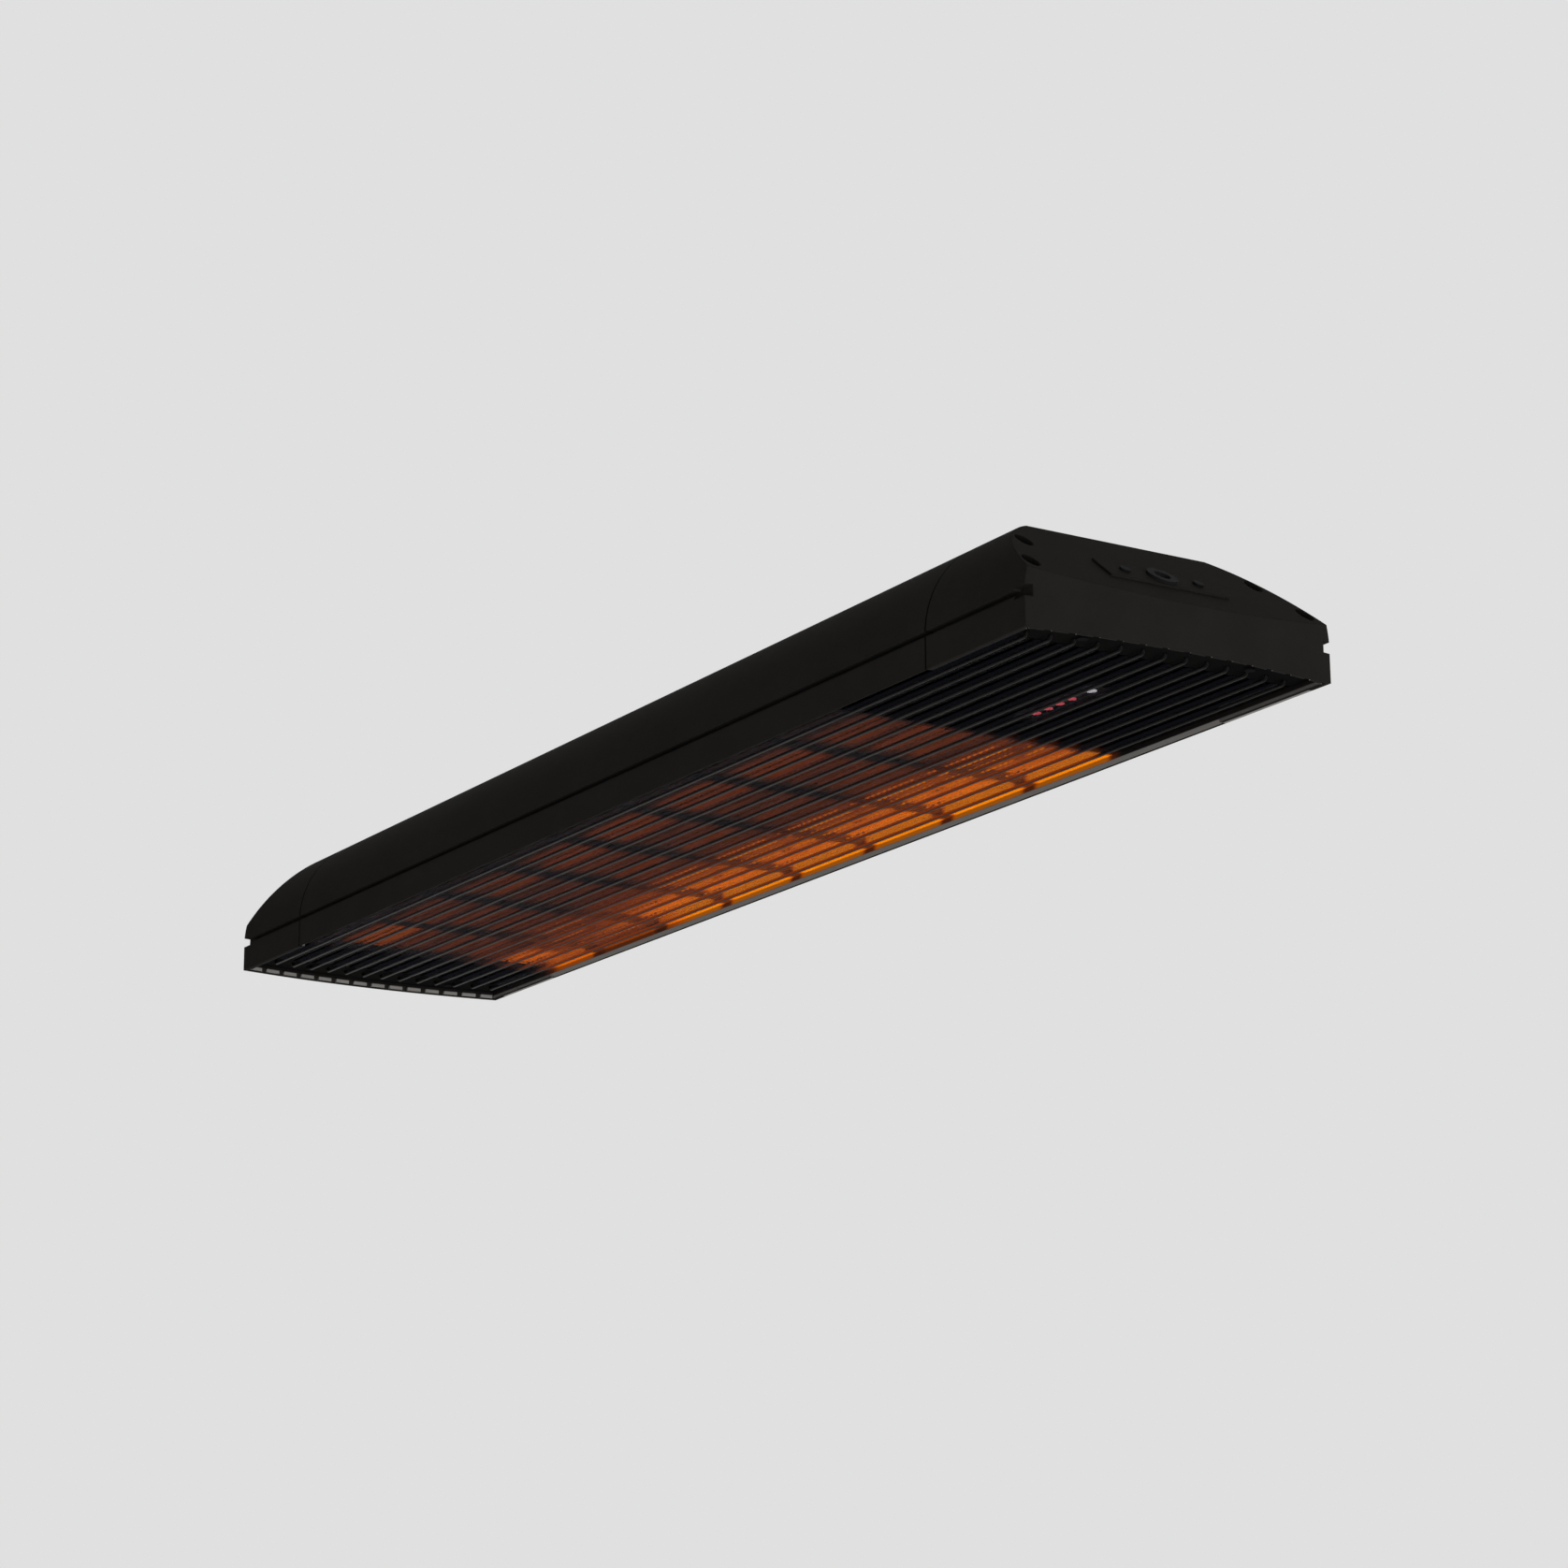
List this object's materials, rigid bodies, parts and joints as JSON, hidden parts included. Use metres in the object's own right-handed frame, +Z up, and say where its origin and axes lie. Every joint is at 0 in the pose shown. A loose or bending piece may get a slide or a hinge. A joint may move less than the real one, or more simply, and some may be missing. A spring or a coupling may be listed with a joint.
{
  "type": "radiant heater",
  "caption": "Slim black ceiling-mounted infrared heater with a dark front glass, rod guard, glowing ribbon element and tilting bracket.",
  "frame": {"origin": "centre of the ceiling plate's top face, in the middle of its four screw holes", "axes": "+X along the body towards the cable inlet, +Z up to the ceiling, the heated front faces -Z"},
  "size_m": [0.911, 0.19, 0.0925],
  "materials": {
    "black_paint": "fine textured satin black powder coat",
    "bracket_paint": "satin black powder coat",
    "comb_paint": "matt black stove paint",
    "black_screws": "black oxide",
    "zinc_steel": "bright zinc plate",
    "bare_trim": "brushed and anodised",
    "rod_steel": "dark satin steel wire",
    "dark_glass": "dark tinted glass ceramic, polished",
    "gasket_fibre": "braided glass fibre",
    "bright_sheet": "polished aluminium sheet",
    "fibre_board": "pressed mineral fibre",
    "warm_ribbon": "oxidised resistance strip at low heat",
    "hot_ribbon": "oxidised resistance strip at full heat",
    "mica": "dark mica board",
    "bus_steel": "heat-tinted steel",
    "white_ceramic": "glazed steatite",
    "galvanised": "galvanised sheet",
    "board_green": "coated circuit board",
    "dark_plastic": "moulded black",
    "sink_metal": "extruded",
    "pale_plastic": "moulded pale grey",
    "earth_brass": "plain",
    "lead_sleeve": "silicone sleeve",
    "red_light": "lit red light pipe",
    "white_light": "lit white lens",
    "gland_black": "moulded black"
  },
  "bodies": {
    "ceiling_mount": {"ceiling_plate": "bracket_paint", "pivot_bolts": "zinc_steel", "pivot_washers": "zinc_steel", "pivot_nuts": "zinc_steel"},
    "heater": {"upper_housing": "black_paint", "side_rail_left": "black_paint", "side_rail_right": "black_paint", "end_cap_left": "black_paint", "end_cap_right": "black_paint", "inlet_cover": "black_paint", "pivot_bracket_left": "bracket_paint", "pivot_bracket_right": "bracket_paint", "guard_comb_left": "comb_paint", "guard_comb_right": "comb_paint", "end_cap_screws": "black_screws", "comb_screws": "black_screws", "inlet_screws": "black_screws", "bracket_screws": "zinc_steel", "rail_screws": "zinc_steel", "side_trim_left": "bare_trim", "side_trim_right": "bare_trim", "end_trim_left": "bare_trim", "end_trim_right": "bare_trim", "guard_rods": "rod_steel", "front_glass": "dark_glass", "glass_gasket": "gasket_fibre", "reflector": "bright_sheet", "insulation_board": "fibre_board", "ribbon_bank_left": "warm_ribbon", "ribbon_bank_right": "hot_ribbon", "ribbon_holders": "mica", "bus_bars": "bus_steel", "bus_insulators": "white_ceramic", "heat_bulkhead": "galvanised", "chassis_tray": "galvanised", "board_standoffs": "galvanised", "light_posts": "galvanised", "control_board": "board_green", "light_board": "board_green", "power_relays": "dark_plastic", "supply_transformer": "dark_plastic", "thermal_cutout": "dark_plastic", "filter_capacitor": "dark_plastic", "heat_sink": "sink_metal", "terminal_block": "pale_plastic", "cable_clamp": "pale_plastic", "earth_stud": "earth_brass", "inner_leads": "lead_sleeve", "power_lights": "red_light", "receiver_window": "white_light", "cable_gland": "gland_black", "gland_nut": "gland_black"}
  },
  "joints": [
    {"name": "tilt", "type": "hinge", "parent": "ceiling_mount", "child": "heater", "pos_m": [0, 0, -0.01], "axis": [1, 0, 0], "range_deg": [-15, 15]}
  ]
}
